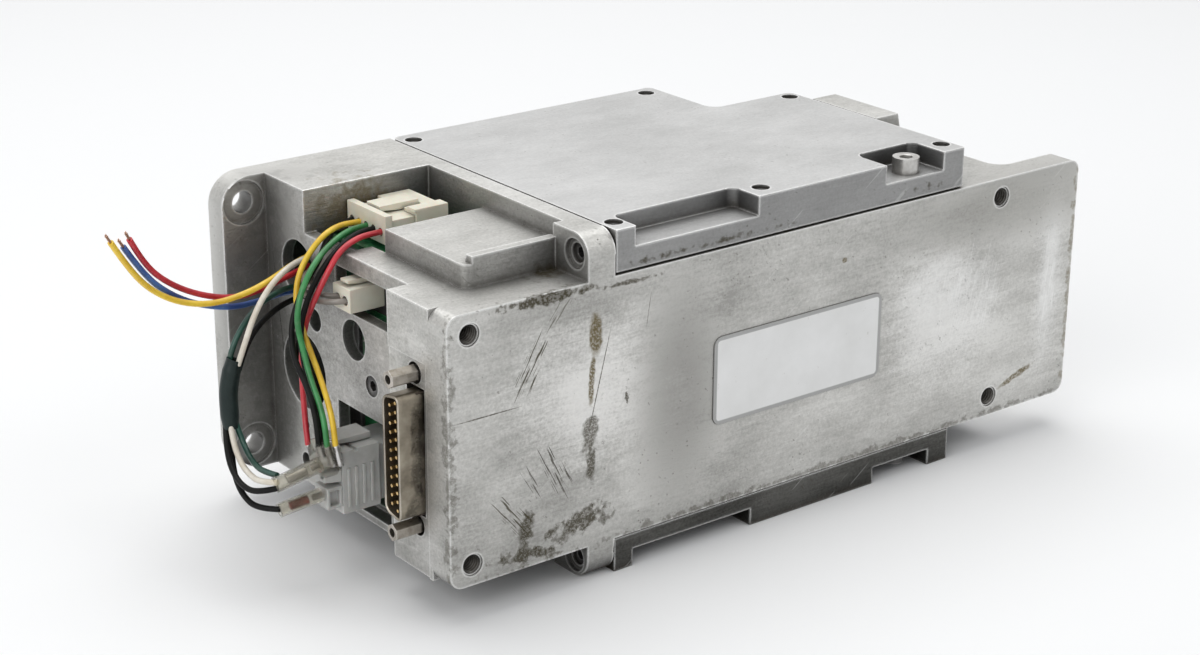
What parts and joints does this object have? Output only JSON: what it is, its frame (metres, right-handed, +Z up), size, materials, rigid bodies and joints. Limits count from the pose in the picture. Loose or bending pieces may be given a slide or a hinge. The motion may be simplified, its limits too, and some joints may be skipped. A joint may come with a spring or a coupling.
{
  "type": "servo drive",
  "caption": "Cast aluminium servo drive: long mounting plate, screwed lids above and below, rear flange, D connector and board plugs with loose leads at one end.",
  "frame": {"origin": "under the middle of the drive, at the level of the bottom cover's face", "axes": "+X along the mounting plate away from the connectors, +Y from the plate's front face into the body, +Z up from the bottom cover to the top cover"},
  "size_m": [0.3209, 0.1184, 0.1141],
  "materials": {
    "casting": "die cast, tumbled, dull, with handling scratches",
    "cover": "die cast, dull",
    "gasket": "black cord seal",
    "screw_steel": "zinc plated, worn",
    "dark_screw": "black oxide",
    "label": "blank silver polyester plate",
    "board_green": "glass-epoxy board with green solder mask",
    "package": "black moulded packages",
    "can": "sleeved capacitor cans",
    "grey_pad": "soft grey heat pad",
    "toroid": "enamelled winding on a ring core",
    "connector_shell": "tinned steel shell, slightly tarnished",
    "insulator": "dark glass-filled plastic",
    "gold": "gold-flashed pins",
    "cream_plastic": "aged white nylon",
    "grey_plastic": "light grey nylon",
    "clear_plastic": "clear sleeving, slightly yellowed",
    "dark_sleeving": "dark shrink sleeving",
    "yellow_wire": "PVC insulation",
    "green_wire": "PVC insulation",
    "black_wire": "PVC insulation",
    "red_wire": "PVC insulation",
    "blue_wire": "PVC insulation",
    "white_wire": "PVC insulation",
    "grey_wire": "PVC insulation",
    "bare_copper": "tinned strands"
  },
  "bodies": {
    "housing": {"main_casting": "casting", "top_cover": "cover", "bottom_cover": "cover", "top_gasket": "gasket", "bottom_gasket": "gasket", "top_cover_screws": "screw_steel", "bottom_cover_screws": "screw_steel", "top_clamp_screw": "dark_screw", "bottom_clamp_screw": "screw_steel", "lug_screws": "screw_steel", "end_wall_screw": "screw_steel", "label_plate": "label", "control_board": "board_green", "power_board": "board_green", "riser_board": "board_green", "board_standoffs": "screw_steel", "board_screws": "screw_steel", "riser_brackets": "screw_steel", "board_chips": "package", "bus_capacitors": "can", "thermal_pad": "grey_pad", "power_module": "package", "module_screws": "screw_steel", "filter_inductor": "toroid", "shunt_resistors": "package", "dsub_shell": "connector_shell", "dsub_insulator": "insulator", "dsub_pins": "gold", "jack_screws": "connector_shell", "five_way_header": "cream_plastic", "five_way_plug": "cream_plastic", "two_way_plug": "cream_plastic", "two_way_header": "package", "grey_socket": "grey_plastic", "grey_plug": "grey_plastic", "wire_boot": "clear_plastic", "yellow_lead": "yellow_wire", "green_lead": "green_wire", "black_lead": "black_wire", "second_black_lead": "black_wire", "red_lead": "red_wire", "grey_lead": "grey_wire", "second_grey_lead": "grey_wire", "free_yellow_lead": "yellow_wire", "free_red_lead": "red_wire", "free_blue_lead": "blue_wire", "white_lead": "white_wire", "outer_dark_lead": "black_wire", "inner_black_lead": "black_wire", "low_white_lead": "white_wire", "low_black_lead": "black_wire", "lower_black_lead": "black_wire", "low_green_lead": "green_wire", "dark_sleeve": "dark_sleeving", "upper_sleeve": "clear_plastic", "lower_sleeve": "clear_plastic", "bare_tips": "bare_copper"},
    "five_way_latch_rocker": {"five_way_latch": "cream_plastic"},
    "two_way_latch_rocker": {"two_way_latch": "cream_plastic"},
    "grey_latch_rocker": {"grey_latch": "grey_plastic"}
  },
  "joints": [
    {"name": "five_way_latch_press", "type": "hinge", "parent": "housing", "child": "five_way_latch_rocker", "pos_m": [-0.0906, 0.0171, 0.1019], "axis": [0, -1, 0], "range_deg": [0, 4], "stiffness_Nm_per_rad": 0.05},
    {"name": "two_way_latch_press", "type": "hinge", "parent": "housing", "child": "two_way_latch_rocker", "pos_m": [-0.11355, 0.0006, 0.0873], "axis": [0, -1, 0], "range_deg": [0, 4], "stiffness_Nm_per_rad": 0.05},
    {"name": "grey_latch_press", "type": "hinge", "parent": "housing", "child": "grey_latch_rocker", "pos_m": [-0.124, -0.0068, 0.0428], "axis": [0, -1, 0], "range_deg": [0, 4], "stiffness_Nm_per_rad": 0.05}
  ]
}
